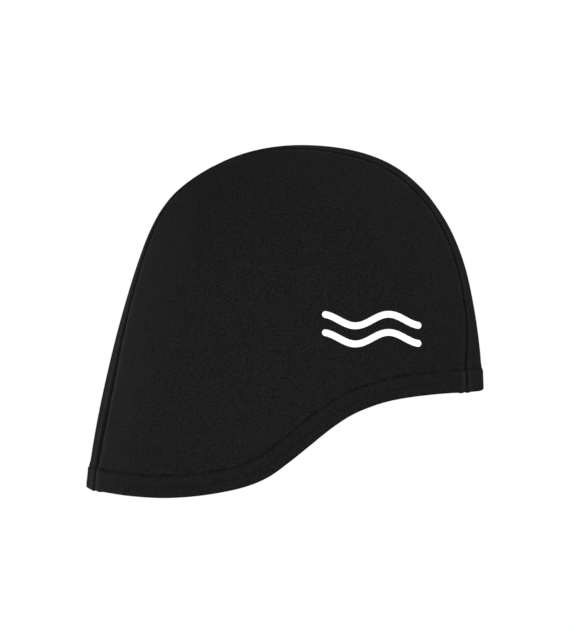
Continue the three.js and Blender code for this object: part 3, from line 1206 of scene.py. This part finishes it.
def cloth_material(name, brightness):
    """Black knit. brightness scales its tones."""
    material, tree, shader = new_material(name)
    flat = add_node(tree, "ShaderNodeUVMap", uv_map="knit").outputs["UV"]
    space = add_node(tree, "ShaderNodeTexCoord").outputs["Object"]
    uneven = use(tree, mottle, Place=space, **{"Speckle Size": 0.0006, "Patch Size": 0.06})
    dark, cool, warm = ((*(brightness * value for value in tone), 1) for tone in CLOTH_TONES)
    dye = blend_colours(tree, uneven["Patch"], cool, warm)
    colour = blend_colours(tree, uneven["Speckle"], dark, dye)
    # Shade painted into the creases and highlights painted on the ridges.
    painted_shade_colour = use(tree, painted_shade_and_highlight, Colour=colour)["Colour"]
    tree.links.new(painted_shade_colour, shader.inputs["Base Color"])
    loops = use(tree, knit_loops, Place=flat, Gauge=GAUGE)["Height"]
    height = math(tree, "MULTIPLY_ADD", uneven["Speckle"], 1.5, loops)
    bump = add_node(tree, "ShaderNodeBump", {"Distance": 0.00003, "Height": height})
    tree.links.new(bump.outputs["Normal"], shader.inputs["Normal"])
    rough = add_node(tree, "ShaderNodeMapRange", {"Value": uneven["Speckle"], "To Min": 0.85})
    tree.links.new(rough.outputs[0], shader.inputs["Roughness"])
    shader.inputs["Specular IOR Level"].default_value = 0
    shader.inputs["Sheen Weight"].default_value = 0.006
    shader.inputs["Sheen Roughness"].default_value = 0.1
    return material


panel_finish = cloth_material("panel_cloth", 1.0)
hem_finish = cloth_material("hem_cloth", 0.95)


def finish(piece, material):
    piece.data.materials.append(material)


for piece in (side_right, side_left, centre, *strips):
    finish(piece, panel_finish)
finish(band, hem_finish)
print("cloth", panel_finish.name, hem_finish.name)

# %% Thread and print
THREAD_TONES = ((0.0035, 0.0035, 0.0036, 1), (0.012, 0.0119, 0.0119, 1))
PRINT_TONES = ((0.86, 0.86, 0.85, 1), (0.93, 0.93, 0.92, 1))


def thread_material(name):
    material, tree, shader = new_material(name)
    space = add_node(tree, "ShaderNodeTexCoord").outputs["Object"]
    uneven = use(tree, mottle, Place=space, **{"Speckle Size": 0.0004, "Patch Size": 0.02})
    colour = blend_colours(tree, uneven["Speckle"], *THREAD_TONES)
    tree.links.new(colour, shader.inputs["Base Color"])
    bump = add_node(tree, "ShaderNodeBump", {"Distance": 0.00004, "Height": uneven["Speckle"]})
    tree.links.new(bump.outputs["Normal"], shader.inputs["Normal"])
    shader.inputs["Roughness"].default_value = 0.7
    shader.inputs["Specular IOR Level"].default_value = 0.04
    return material


def print_material(name):
    material, tree, shader = new_material(name)
    space = add_node(tree, "ShaderNodeTexCoord").outputs["Object"]
    flat = add_node(tree, "ShaderNodeUVMap", uv_map="knit").outputs["UV"]
    uneven = use(tree, mottle, Place=space, **{"Speckle Size": 0.0012, "Patch Size": 0.015})
    colour = blend_colours(tree, uneven["Patch"], *PRINT_TONES)
    tree.links.new(colour, shader.inputs["Base Color"])
    loops = use(tree, knit_loops, Place=flat, Gauge=GAUGE)["Height"]
    bump = add_node(tree, "ShaderNodeBump", {"Strength": 0.5, "Distance": 0.00002, "Height": loops})
    tree.links.new(bump.outputs["Normal"], shader.inputs["Normal"])
    rough = add_node(
        tree, "ShaderNodeMapRange", {"Value": uneven["Speckle"], "To Min": 0.4, "To Max": 0.6}
    )
    tree.links.new(rough.outputs[0], shader.inputs["Roughness"])
    return material


thread_finish, print_finish = thread_material("thread"), print_material("print")
for piece in (hem_stitches, hem_cover, *bindings):
    finish(piece, thread_finish)
for piece in prints:
    finish(piece, print_finish)
print("fine finishes", thread_finish.name, print_finish.name)

# %% [markdown]
# ## Flat sizes
# Each panel was cut flat, a little smaller than it is here, because the knit is stretched over the
# form. Their flat sizes are not worked out here.

# %% Sheets of cloth
print("panels are cut flat, smaller than they are here")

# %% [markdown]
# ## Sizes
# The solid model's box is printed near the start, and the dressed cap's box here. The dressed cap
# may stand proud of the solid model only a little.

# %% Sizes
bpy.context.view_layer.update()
low, high = ([round(v, 4) for v in corner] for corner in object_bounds())
print("dressed cap from", low, "to", high)
